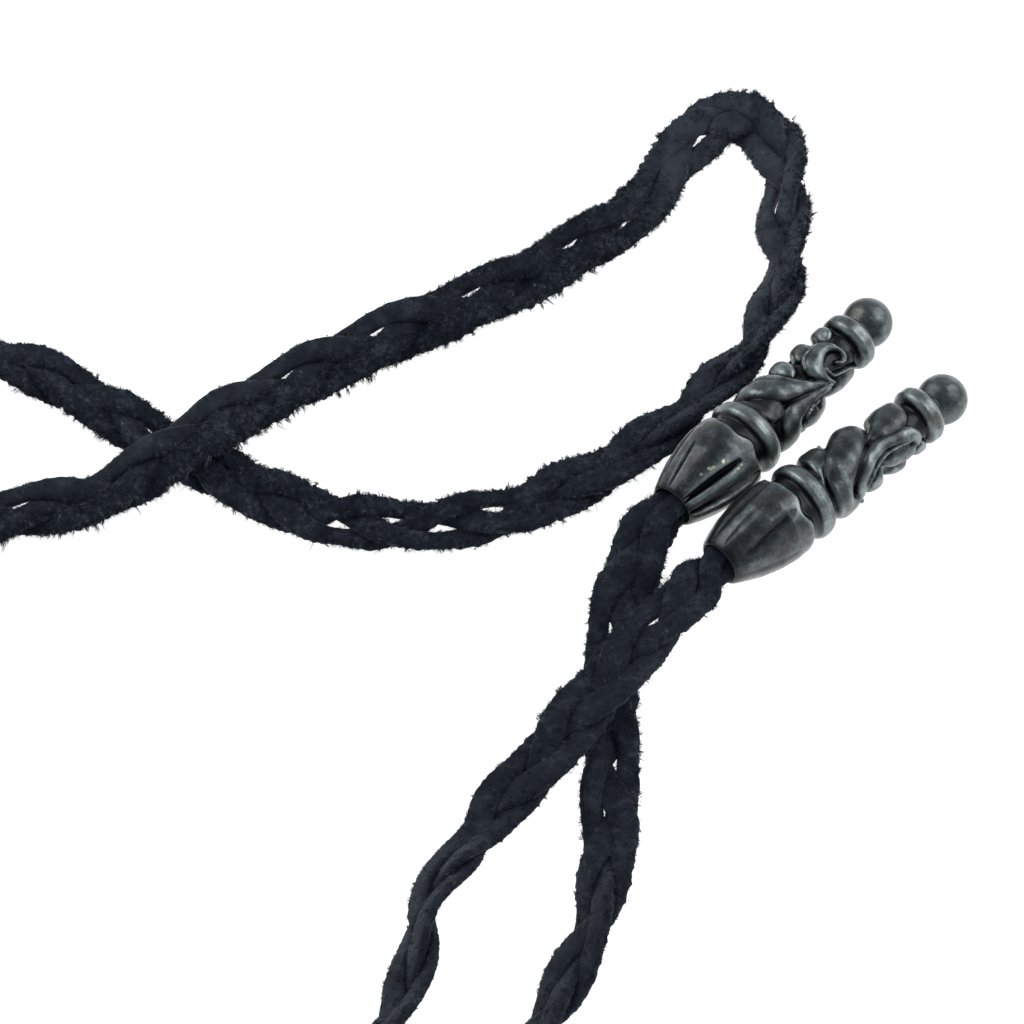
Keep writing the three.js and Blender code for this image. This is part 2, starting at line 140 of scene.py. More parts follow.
# The plait's way over the surface: x, y, height of its underside, and how far its upper face
# is rolled to the right of the way it runs, in degrees.
ROUTE = [
    (0.0151, -0.0040, 0.0030, 0),
    (0.0125, -0.0096, 0.0007, 0),
    (0.0106, -0.0215, 0, 0),
    (0.0105, -0.0355, 0, 8),
    (0.0090, -0.0485, 0, 46),
    (0.0028, -0.0623, 0, 48),
    (-0.0120, -0.0850, 0, 10),
    (-0.0460, -0.1035, 0, 0),
    (-0.0910, -0.0910, 0, 0),
    (-0.1135, -0.0485, 0, 0),
    (-0.0990, -0.0025, 0, 0),
    (-0.0640, 0.0210, 0, -18),
    (-0.0362, 0.0072, 0, 0),
    (-0.0210, -0.0006, 0, 14),
    (-0.0055, -0.0012, 0, 14),
    (0.0077, 0.0039, 0, -6),
    (0.0207, 0.0138, 0, -32),
    (0.0297, 0.0260, 0, -46),
    (0.0317, 0.0420, 0, -42),
    (0.0312, 0.0482, 0, -34),
    (0.0285, 0.0527, 0, -28),
    (0.0239, 0.0541, 0, -20),
    (0.0200, 0.0506, 0, -20),
    (0.0136, 0.0402, 0, -28),
    (0.0023, 0.0315, 0, -20),
    (-0.0140, 0.0231, 0, -18),
    (-0.0270, 0.0154, 0.0007, -8),
    (-0.0362, 0.0072, 0.0036, 0),
    (-0.0452, 0.0020, 0.0009, 0),
    (-0.0575, -0.0007, 0, -8),
    (-0.0835, -0.0095, 0, 0),
    (-0.1020, -0.0440, 0, 0),
    (-0.0840, -0.0825, 0, 0),
    (-0.0425, -0.0900, 0, -4),
    (-0.0121, -0.0605, 0, -48),
    (-0.0087, -0.0476, 0, -56),
    (-0.0020, -0.0379, 0.0007, -20),
    (0.0046, -0.0305, 0.0034, 0),
    (0.0116, -0.0214, 0.0036, 0),
    (0.0200, -0.0115, 0.0038, 0),
]


def cap_point(cap, along):
    """A point on a cap's axis, that far from its mouth."""
    heading = math.radians(cap["heading"])
    flat = along * math.cos(CAP_TILT)
    drop = along * math.sin(CAP_TILT)
    at = Vector((flat * math.cos(heading), flat * math.sin(heading), MOUTH_HEIGHT - drop))
    return ZERO + Vector((cap["x"], cap["y"], 0)) + at


def smooth_share(x):
    """0 below nothing, 1 above one, and an even curve between them."""
    x = np.clip(x, 0, 1)
    return x * x * (3 - 2 * x)


def plait_line():
    """Distances along the plait, the points of its middle there, and its roll, all smooth."""
    first, last = CAPS.values()
    half = PLAIT_THICKNESS / 2
    stops = [(*cap_point(first, GRIP), 0), (*cap_point(first, 0), 0)]
    stops += [(x + ZERO.x, y + ZERO.y, lift + half, roll) for x, y, lift, roll in ROUTE]
    stops += [(*cap_point(last, 0), 0), (*cap_point(last, GRIP), 0)]
    points = np.array([stop[:3] for stop in stops])
    rolls = np.radians([stop[3] for stop in stops])
    points = np.vstack([2 * points[0] - points[1], points, 2 * points[-1] - points[-2]])
    knots = np.concatenate(
        [[0], np.cumsum(np.linalg.norm(np.diff(points, axis=0), axis=1) ** 0.5)]
    )
    line, roll = [], []
    share = np.linspace(0, 1, 80, endpoint=False)[:, None]
    for i in range(1, len(points) - 2):
        a, b, c, d = points[i - 1 : i + 3]
        ab, bc, cd = np.diff(knots[i - 1 : i + 3])
        leave = bc * ((b - a) / ab - (c - a) / (ab + bc) + (c - b) / bc)
        enter = bc * ((c - b) / bc - (d - b) / (bc + cd) + (d - c) / cd)
        line.append(
            b
            + leave * share
            + (3 * (c - b) - 2 * leave - enter) * share**2
            + (2 * (b - c) + leave + enter) * share**3
        )
        roll.append(rolls[i - 1] + (rolls[i] - rolls[i - 1]) * smooth_share(share[:, 0]))
    line = np.vstack([*line, points[-2]])
    roll = np.append(np.concatenate(roll), 0)
    along = np.concatenate([[0], np.cumsum(np.linalg.norm(np.diff(line, axis=0), axis=1))])
    at = [0]
    for end, step in LACE_STEPS:
        end = min(end, along[-1])
        at += np.linspace(at[-1], end, math.ceil((end - at[-1]) / step) + 1)[1:].tolist()
    line = np.column_stack([np.interp(at, along, line[:, k]) for k in range(3)])
    return np.array(at), line, np.interp(at, along, roll)


def unit(v):
    """The vectors, each made one long."""
    return v / np.linalg.norm(v, axis=-1, keepdims=True)


along, line, roll = plait_line()
plait_length = along[-1]
# This is 1 inside the caps and falls to nothing a little past their mouths.
gathered = 1 - smooth_share((np.minimum(along, plait_length - along) - GRIP) / GATHER)
run = unit(np.gradient(line, axis=0))
right = unit(np.cross(run, [0, 0, 1]))
up = np.cross(right, run)
across = right * np.cos(roll)[:, None] - up * np.sin(roll)[:, None]
face = right * np.sin(roll)[:, None] + up * np.cos(roll)[:, None]
# A rolled plait stands on its lower edge, so its middle is that much higher.
drop = np.hypot(PLAIT_HALF_WIDTH * np.sin(roll), PLAIT_THICKNESS / 2 * np.cos(roll))
line[:, 2] += (drop - PLAIT_THICKNESS / 2) * (1 - gathered)


def slow_noise(x, seed, size):
    """A smooth random run between about -1 and 1, one value for each distance in x."""
    return np.array([noise.noise(Vector((at / size, seed, 0.37 * seed))) for at in x]) * 2


def table_at(table, x):
    """The table's second column at each x in metres; the first column is in millimetres."""
    rows = np.array(table)
    return np.interp(x, rows[:, 0] * MM, rows[:, 1])


def near(x, place, reach):
    """1 where x in metres is at that place in millimetres, falling to nothing past the reach."""
    return np.exp(-(((x - place * MM) / reach) ** 2))


def lace_path(which):
    """The middle of one lace, and where in its swing it is."""
    slip = table_at(SLIPS, along) * MM
    swing_at = 2 * math.pi * ((along - slip) / (3 * LOBE_PITCH) + which / 3)
    swing_at += math.pi / 2
    loose = 1 + 0.05 * slow_noise(along, 3.1 + which, 0.011)
    swing = np.sin(swing_at) + LACE_SQUARENESS * np.sin(3 * swing_at)
    swing -= LACE_LEAD * np.cos(3 * swing_at)
    side = LACE_SWING * loose * swing / (1 - LACE_SQUARENESS)
    side = side * table_at(SPREADS, along) + table_at(DRIFTS, along) * MM
    for place, reach, out in BOWED_OUT:
        bowed = out * MM * near(along, place, reach * MM)
        side -= bowed * np.clip(-np.sin(swing_at), 0, 1)
    side += table_at(LOBED, along) * MM * np.clip(np.sin(swing_at), 0, 1) ** 3
    rise = LACE_RISE * (1 + 0.4 * table_at(WORN, along)) * np.sin(2 * swing_at)
    bundle = 2 * math.pi * which / 3
    side += (BUNDLE_RADIUS * math.cos(bundle) - side) * gathered
    rise += (BUNDLE_RADIUS * math.sin(bundle) - rise) * gathered
    return line + across * side[:, None] + face * rise[:, None], swing_at


def lace_rings(which):
    """Rings of points round one lace, the way each faces, and which points are on its edges."""
    middle, swing_at = lace_path(which)
    forward = unit(np.gradient(middle, axis=0))
    over = unit(face - forward * (face * forward).sum(1)[:, None])
    side = np.cross(forward, over)
    tilt = LACE_TILT * np.cos(swing_at) * (1 - gathered)
    tilt = tilt + 0.10 * slow_noise(along, 17.3 + which, 0.009)
    wide = side * np.cos(tilt)[:, None] + over * np.sin(tilt)[:, None]
    high = over * np.cos(tilt)[:, None] - side * np.sin(tilt)[:, None]
    half_width = LACE_WIDTH / 2 * (1 + 0.05 * slow_noise(along, 29.9 + which, 0.007))
    for place, share in OPENINGS:
        half_width = half_width * (1 - share * near(along, place, OPENING_REACH))
    half_width = half_width * (1 + LACE_NARROWING * np.cos(2 * swing_at) * (1 - gathered))
    half_width = half_width * (1 - table_at(FRAYED, along) * FRAYED_WIDENING * np.sin(swing_at))
    half_width = half_width * (1 - BUNDLE_NARROWING * gathered)
    half_height = LACE_THICKNESS / 2 * (1 + 0.06 * slow_noise(along, 41.7 + which, 0.005))
    angle = 2 * math.pi * np.arange(LACE_SIDES) / LACE_SIDES
    x = np.sign(np.cos(angle)) * np.abs(np.cos(angle)) ** LACE_CORNERS
    y = np.sign(np.sin(angle)) * np.abs(np.sin(angle)) ** LACE_CORNERS
    out_x = np.sign(x) * np.abs(x) ** (1 / LACE_CORNERS - 1) / LACE_WIDTH
    out_y = np.sign(y) * np.abs(y) ** (1 / LACE_CORNERS - 1) / LACE_THICKNESS
    rings = (
        middle[:, None]
        + wide[:, None] * (half_width[:, None] * x)[..., None]
        + high[:, None] * (half_height[:, None] * y)[..., None]
    )
    facing = unit(wide[:, None] * out_x[None, :, None] + high[:, None] * out_y[None, :, None])
    edge = np.clip((np.abs(x) - 0.82) / 0.15, 0, 1)
    return rings, facing, np.broadcast_to(edge, rings.shape[:2])


def nap_thickness(ring, offset):
    """How thick the nap is at those rings, that far across the plait: -1 is left and 1 right."""
    left = table_at([row[:2] for row in NAP], along[ring])
    right = table_at([row[::2] for row in NAP], along[ring])
    return left + (right - left) * smooth_share(offset / 0.9 + 0.45)


def roughened(rings, facing, edge, seed):
    """The rings with the lace's soft grain, and with its edges ragged where the nap is thick."""
    flat = rings.reshape(-1, 3) / MM
    # Three sizes of unevenness, from a bulge over a millimetre long to single tufts.
    rough = np.array(
        [
            (
                noise.noise(Vector(p) * 0.9 + Vector((seed, 0, 0))),
                noise.noise(Vector(p) * 2.4),
                noise.noise(Vector(p) * 4.1),
            )
            for p in flat
        ]
    ).reshape(*rings.shape[:2], 3)
    offset = ((rings - line[:, None]) * across[:, None]).sum(-1) / PLAIT_HALF_WIDTH
    thick = nap_thickness(np.arange(len(rings))[:, None], offset)
    push = 0.03 * rough[..., 0] + (0.02 + 0.06 * thick) * rough[..., 1]
    frayed = edge * thick * smooth_share((np.abs(offset) - 0.4) / 0.3)
    push = push + frayed * (0.1 * rough[..., 0] + 0.45 * rough[..., 1] + 0.35 * rough[..., 2])
    rings = rings + facing * (push * MM)[..., None]
    # The lowest parts are pressed flat by what they lie on.
    rings[..., 2] = np.maximum(rings[..., 2], 0.03 * MM)
    return rings


def tube_faces(rows, sides, start):
    """Quads between rings of a closed tube, and a face on each end."""
    row = np.arange(rows - 1)[:, None] * sides
    side = np.arange(sides)[None, :]
    after = (side + 1) % sides
    quads = np.stack([row + side, row + sides + side, row + sides + after, row + after], -1)
    faces = (quads.reshape(-1, 4) + start).tolist()
    faces.append([start + i for i in range(sides)])
    faces.append([start + (rows - 1) * sides + i for i in reversed(range(sides))])
    return faces


def new_piece(name, points, faces, material):
    """A mesh piece from points and faces, finished in that material, riding on the necklace."""
    mesh = bpy.data.meshes.new(name)
    mesh.from_pydata(np.asarray(points).reshape(-1, 3).tolist(), [], faces)
    mesh.materials.append(material)
    piece = bpy.data.objects.new(name, mesh)
    bpy.context.collection.objects.link(piece)
    mesh.polygons.foreach_set("use_smooth", [True] * len(mesh.polygons))
    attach(piece, BODY)
    return piece


def node(tree, kind, **inputs):
    """A shader node; each input is a value, or a socket to link from."""
    made = tree.nodes.new(kind)
    for name, value in inputs.items():
        socket = made.inputs[name.replace("_", " ")]
        if isinstance(value, bpy.types.NodeSocket):
            tree.links.new(value, socket)
        else:
            socket.default_value = value
    return made


def math_node(tree, operation, *values):
    """The result of a maths node over values or sockets."""
    made = tree.nodes.new("ShaderNodeMath")
    made.operation = operation
    for socket, value in zip(made.inputs, values):
        if isinstance(value, bpy.types.NodeSocket):
            tree.links.new(value, socket)
        else:
            socket.default_value = value
    return made.outputs["Value"]


def ramp(tree, value, stops):
    """A colour ramp over value; stops are (place, colour) pairs."""
    made = node(tree, "ShaderNodeValToRGB", Fac=value)
    elements = made.color_ramp.elements
    elements[0].position, elements[0].color = stops[0][0], (*stops[0][1], 1)
    elements[1].position, elements[1].color = stops[-1][0], (*stops[-1][1], 1)
    for place, colour in stops[1:-1]:
        elements.new(place).color = (*colour, 1)
    return made.outputs["Color"]


def give(piece, name, values):
    """Store a value at each of the piece's points, for its material to read."""
    piece.data.attributes.new(name, "FLOAT", "POINT").data.foreach_set("value", values)


def given(tree, name):
    """The value stored at a piece's points under that name."""
    made = tree.nodes.new("ShaderNodeAttribute")
    made.attribute_name = name
    return made.outputs["Fac"]


def new_material(name):
    """A material whose node tree is still empty, and that tree."""
    material = bpy.data.materials.new(name)
    material.use_nodes = True
    material.node_tree.nodes.clear()
    return material, material.node_tree


def suede(name, mottled_by, shaded_by, share, stops, sheen):
    """Blue-black suede, dull and a little dusty; two stored values mottle it and make it paler."""
    material, tree = new_material(name)
    place = tree.nodes.new("ShaderNodeTexCoord").outputs["Object"]
    mottled = given(tree, mottled_by)
    shaded = given(tree, shaded_by)
    blotch = node(tree, "ShaderNodeTexNoise", Vector=place, Scale=420.0, Detail=3.0)
    moss = node(tree, "ShaderNodeTexNoise", Vector=place, Scale=1700.0, Detail=3.0, Roughness=0.6)
    grain = node(tree, "ShaderNodeTexNoise", Vector=place, Scale=5200.0, Detail=2.0)
    # The nap mottles the colour; where there is little of it the leather is even and smoother.
    mottle = math_node(tree, "SUBTRACT", moss.outputs["Fac"], 0.5)
    mottle = math_node(tree, "MULTIPLY", mottle, mottled)
    shade = math_node(tree, "MULTIPLY_ADD", mottle, 1.5, blotch.outputs["Fac"])
    shade = math_node(tree, "MULTIPLY_ADD", shaded, share, shade)
    shade = math_node(tree, "MULTIPLY", shade, 0.7)
    height = math_node(tree, "MULTIPLY_ADD", mottle, 2.5, grain.outputs["Fac"])
    bump = node(tree, "ShaderNodeBump", Height=height, Strength=0.55, Distance=0.00016)
    dull = node(tree, "ShaderNodeMapRange", Value=mottled, To_Min=0.55, To_Max=0.95)
    shader = node(
        tree,
        "ShaderNodeBsdfPrincipled",
        Base_Color=ramp(tree, shade, stops),
        Roughness=dull.outputs["Result"],
        Specular_IOR_Level=0.15,
        Sheen_Weight=sheen,
        Sheen_Roughness=0.4,
        Sheen_Tint=(0.50, 0.62, 0.78, 1),
        Normal=bump.outputs["Normal"],
    )
    node(tree, "ShaderNodeOutputMaterial", Surface=shader.outputs["BSDF"])
    return material


LEATHER = suede(
    "black_leather",
    mottled_by="nap",
    shaded_by="worn",
    share=0.24,
    stops=[
        (0.18, (0.0058, 0.0082, 0.0138)),
        (0.37, (0.0120, 0.0162, 0.0255)),
        (0.60, (0.0370, 0.0450, 0.0585)),
    ],
    sheen=0.10,
)
laces = [lace_rings(which) for which in range(3)]
laces = [(roughened(*lace, 7.7 * which), *lace[1:]) for which, lace in enumerate(laces)]
faces = []
for which in range(3):
    faces += tube_faces(len(along), LACE_SIDES, which * len(along) * LACE_SIDES)
laces_rings = np.array([lace[0] for lace in laces])
braid = new_piece("braid_laces", laces_rings, faces, LEATHER)
offsets = ((laces_rings - line[:, None]) * across[:, None]).sum(-1) / PLAIT_HALF_WIDTH
rings = np.broadcast_to(np.arange(len(along))[:, None], offsets.shape[1:])
thick = np.array([nap_thickness(rings, offset) for offset in offsets])
thick *= 1 - 0.6 * table_at(WORN, along)[:, None]
worn = np.broadcast_to(table_at(WORN, along)[:, None], thick.shape)
give(braid, "nap", thick.ravel())
give(braid, "worn", worn.ravel())
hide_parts("braid")

# ---- The suede nap ----
# The laces' flesh side is brushed suede and their cut edges have frayed: short fibres lie over
# the faces in tufts, stand out past the edges as a ragged fringe, and here and there a long one
# has pulled loose.
FIBRES_IN_TUFT = 7
# The share of the tufts that hold pale dust, by distance in mm: most on the bight.
DUST = [
    (0, 0.02), (400, 0.02), (425, 0.08), (450, 0.12), (480, 0.08), (500, 0.05), (540, 0.03),
    (837, 0.02),
]
NAP_SUEDE = suede(
    "suede_nap",
    mottled_by="tone",
    shaded_by="tone",
    share=0.9,
    stops=[
        (0.40, (0.0035, 0.0055, 0.0100)),
        (0.63, (0.0122, 0.0165, 0.0255)),
        (0.80, (0.0300, 0.0390, 0.0520)),
        (0.97, (0.1100, 0.1260, 0.1400)),
    ],
    sheen=0.12,
)
chance = np.random.default_rng(11)
laces_middle = np.array([lace_path(which)[0] for which in range(3)])
laces_facing = np.array([lace[1] for lace in laces])


def outer_points(count, first, last):
    """Random points of the laces' outer faces between two distances, more where nap is thick."""
    low, high = np.searchsorted(along, [first * MM, last * MM])
    # Eight times as many are tried, for most of them are left out.
    ring = chance.integers(low, max(high - 1, low + 1), 8 * count)
    which = chance.integers(0, 3, len(ring))
    side = chance.integers(0, LACE_SIDES, len(ring))
    at = laces_rings[which, ring, side]
    out = laces_facing[which, ring, side]
    # Nothing grows where a lace is inside another one.
    buried = np.zeros(len(ring), bool)
    for step in (1, 2):
        other = laces_middle[(which + step) % 3, ring]
        x = ((at - other) * across[ring]).sum(1) / (0.92 * LACE_WIDTH / 2)
        z = ((at - other) * face[ring]).sum(1) / (0.92 * LACE_THICKNESS / 2)
        buried |= np.abs(x) ** 2.6 + np.abs(z) ** 2.6 < 1
    offset = ((at - line[ring]) * across[ring]).sum(1) / PLAIT_HALF_WIDTH
    thick = nap_thickness(ring, offset)
    # The sides and the top show, and what lies underneath gets less of the nap.
    upward = out[:, 2] + np.where(at[:, 2] < 0.7 * MM, -0.3, 0.3)
    kept = thick * (0.12 + 0.88 * smooth_share(upward + 0.6))
    worn = table_at(WORN, along[ring]) * smooth_share((1 - np.abs(offset)) / 0.4)
    kept *= 1 - 0.88 * worn
    kept = np.flatnonzero(~buried & (chance.random(len(ring)) < kept))[:count]
    return at[kept], out[kept], ring[kept], thick[kept], offset[kept]


def fibres(name, starts, middles, ends, facing, widths, tones, bends):
    """Flat tapering fibres, each bent over its middle, as one piece."""
    flat = unit(np.cross(ends - starts, facing))
    points = []
    for bend in range(bends + 1):
        share = bend / bends
        spine = starts * (1 - share) ** 2 + ends * share**2
        spine = spine + middles * (2 * share * (1 - share))
        spread = flat * (widths * (1 - share))[:, None]
        points += [spine] if bend == bends else [spine - spread, spine + spread]
    points = np.stack(points, 1)
    points[..., 2] = np.maximum(points[..., 2], 0.02 * MM)
    strip = []
    for bend in range(bends - 1):
        a = 2 * bend
        strip += [(a, a + 1, a + 3), (a, a + 3, a + 2)]
    strip.append((2 * bends - 2, 2 * bends - 1, 2 * bends))
    start = points.shape[1] * np.arange(len(starts))[:, None, None]
    faces = (start + np.array(strip)).reshape(-1, 3).tolist()
    piece = new_piece(name, points, faces, NAP_SUEDE)
    give(piece, "tone", np.repeat(tones, points.shape[1]))
    return piece


def scattered(like, size):
    """A random step for each of those points, of about that size in millimetres."""
    return size * MM * chance.normal(size=like.shape)


def nap(name, stretches, tufts):
    """The nap over some stretches of the plait, in tufts whose fibres mat together.

    Each stretch is its first and last distance in mm, and its share of the tufts.
    """
    parts = []
    for first, last, share in stretches:
        at, out, ring, thick, offset = outer_points(int(tufts * share), first, last)
        outward = np.sign(offset)[:, None] * across[ring]
        # On the faces the fibres lie flat, at a lace's side they bridge to the lace beside it,
        # and past the frayed edge they reach out in ragged points.
        beside = smooth_share(1.2 - 1.3 * np.abs((out * face[ring]).sum(1)))
        fringe = smooth_share((np.abs(offset) - 0.6) / 0.3) * thick * beside
        lean = 0.25 * run[ring] + outward * (0.25 + 0.3 * fringe)[:, None]
        lean = lean + 0.55 * chance.normal(size=out.shape)
        lean = lean - out * ((lean * out).sum(1) * (1 - beside) * 0.9)[:, None]
        lean = lean + out * (0.7 * beside + np.abs(chance.normal(0, 0.3, len(at))))[:, None]
        ragged = chance.random(len(at)) ** 2
        # Beside the openings the fibres are short, and let the light through.
        opening = sum(near(along[ring], place, OPENING_REACH) for place, _ in OPENINGS)
        opening *= smooth_share((0.85 - np.abs(offset)) / 0.3) * beside
        size = (0.22 + chance.gamma(2.0, 0.06, len(at))) * (1 + fringe * (0.3 + 2.4 * ragged))
        size *= (0.6 + 0.4 * thick) * (1 - 0.8 * np.clip(opening, 0, 1))
        reach = unit(lean) * (size * MM)[:, None]
        bend = scattered(out, 0.10) * (size / 0.3)[:, None] + out * (0.05 * MM)
        # Each tuft has its own tone: paler where the leather is worn, and palest with dust.
        tone = np.clip(chance.normal(0.45, 0.17, len(at)), 0.05, 0.80)
        dusty = chance.random(len(at)) < table_at(DUST, along[ring])
        tone += 0.20 * table_at(WORN, along[ring])
        tone = np.where(dusty, chance.uniform(0.85, 1.1, len(at)), tone)
        for _ in range(FIBRES_IN_TUFT):
            spot = scattered(out, 0.14)
            spot -= out * (spot * out).sum(1)[:, None]
            start = at + spot - out * (0.03 * MM)
            tip = start + reach * chance.uniform(0.6, 1.15, (len(at), 1))
            tip = tip - spot * (0.6 * fringe * ragged)[:, None] + scattered(out, 0.07)
            parts.append(
                (
                    start,
                    (start + tip) / 2 + bend + scattered(out, 0.05),
                    tip,
                    out + 0.5 * chance.normal(size=out.shape) + (0, 0, 0.5),
                    chance.uniform(0.030, 0.055, len(at)) * MM,
                    np.clip(tone + 0.10 * chance.normal(size=len(at)), 0, 1.2),
                )
            )
    return fibres(name, *(np.concatenate(part) for part in zip(*parts)), bends=2)


def strays(name, count):
    """Long fibres that have pulled loose from the frayed edges, in the middle of the plait."""
    # Twelve times as many points are picked, for only a few lie right on the edges.
    at, out, ring, thick, offset = outer_points(12 * count, 340, 570)
    kept = np.flatnonzero((np.abs(offset) > 0.8) & (thick > 0.5))[:count]
    at, out, ring, offset = at[kept], out[kept], ring[kept], offset[kept]
    outward = np.sign(offset)[:, None] * across[ring]
    way = unit(outward + 0.4 * out + 0.8 * chance.normal(size=out.shape))
    tip = at + way * (chance.uniform(0.6, 1.7, (len(at), 1)) * MM)
    return fibres(
        name,
        at,
        (at + tip) / 2 + scattered(at, 0.3),
        tip,
        np.broadcast_to(toward_viewer, at.shape),
        chance.uniform(0.022, 0.040, len(at)) * MM,
        chance.uniform(0.3, 0.9, len(at)),
        bends=6,
    )


naps = [
    nap("nap_lower_arm", [(325, 425, 1)], 5700),
    nap("nap_bight", [(425, 487, 1)], 4300),
    nap("nap_upper_arm", [(487, 572, 1)], 7600),
    nap("nap_free_ends", [(3, 72, 0.5), (764, 834, 0.5)], 4600),
    nap("nap_neck_ring", [(70, 325, 0.55), (570, 766, 0.45)], 3200),
    strays("nap_strays", 320),
]

# ---- The end caps ----
# Each end of the plait is glued into a cast silver cap, blackened and rubbed back: a petalled
# bell, a collar, a stem wrapped in scrolled leaves, a ring and a ball. Both are the same casting,
# carved differently on its two faces; the left one lies with one face up, the right the other.
# In the cap's own frame its axis is +Z, its mouth is at zero, and all is in millimetres; turn is
# the angle round the axis in degrees.
SOCKET_RADIUS = 2.3
SOCKET_DEPTH = 8.0
BELL_RADIUS = 4.2                      # on which the grooves' widths are measured
STEM_RADIUS = 3.2                      # on which the leaves' widths are measured
BALL_AT = 34.2
BALL_RADIUS = 2.92
BALL_RINGS = 15
CAP_SIDES = 50
CAP_ROW = 0.46                         # between the rings of faces, before they are divided
# The carving is worked out on a grid, from this far along the cap and with these steps.
GRID_FROM = -0.5
GRID_ROW = 0.1
GRID_TURN = 1.5
CAP_OUTLINE = [
    (0, 2.7), (1.6, 3.35), (3.4, 3.95), (5.8, 4.5), (8.0, 4.74), (9.6, 4.66), (10.6, 4.45),
    (11.0, 3.85), (11.55, 3.75), (11.8, 4.3), (12.15, 4.58), (12.8, 4.6), (13.4, 4.42),
    (13.9, 4.05), (14.2, 3.3), (15.2, 2.95), (18.5, 2.75), (22.5, 2.5), (26.5, 2.3), (29.3, 2.3),
    (29.65, 3.05), (30.1, 3.38), (31.2, 3.38), (31.7, 3.05), (32.2, 2.15),
]
NECK_AT, NECK_RADIUS = CAP_OUTLINE[-1]
# The almond grooves between the bell's petals: the ends of each, its half width and its depth,
# and how much the petals beside it swell before and after it.
GROOVES = [   # at and turn of the lower end, and of the upper end, half width, depth, two swells
    (0.3, -42, 6.6, -52, 0.27, 0.50, 0.02, 0.02),
    (-2.0, 9, 8.0, 17, 0.66, 1.00, 0.10, 0.10),
    (-2.0, 46, 9.8, 54, 0.90, 1.00, 0.08, 0.15),
    (0.6, 118, 8.6, 124, 0.90, 0.12, 0.02, 0.02),
    (0.6, 152, 7.0, 147, 0.60, 0.06, 0.01, 0.01),
    (1.6, 194, 9.2, 180, 1.20, 0.20, 0.04, 0.04),
    (2.6, 192, 8.0, 181, 0.42, 0.26, 0.00, 0.00),
    (0.6, 236, 8.2, 240, 0.80, 0.08, 0.01, 0.01),
    (1.6, 284, 8.6, 282, 0.50, 0.40, 0.05, 0.05),
]
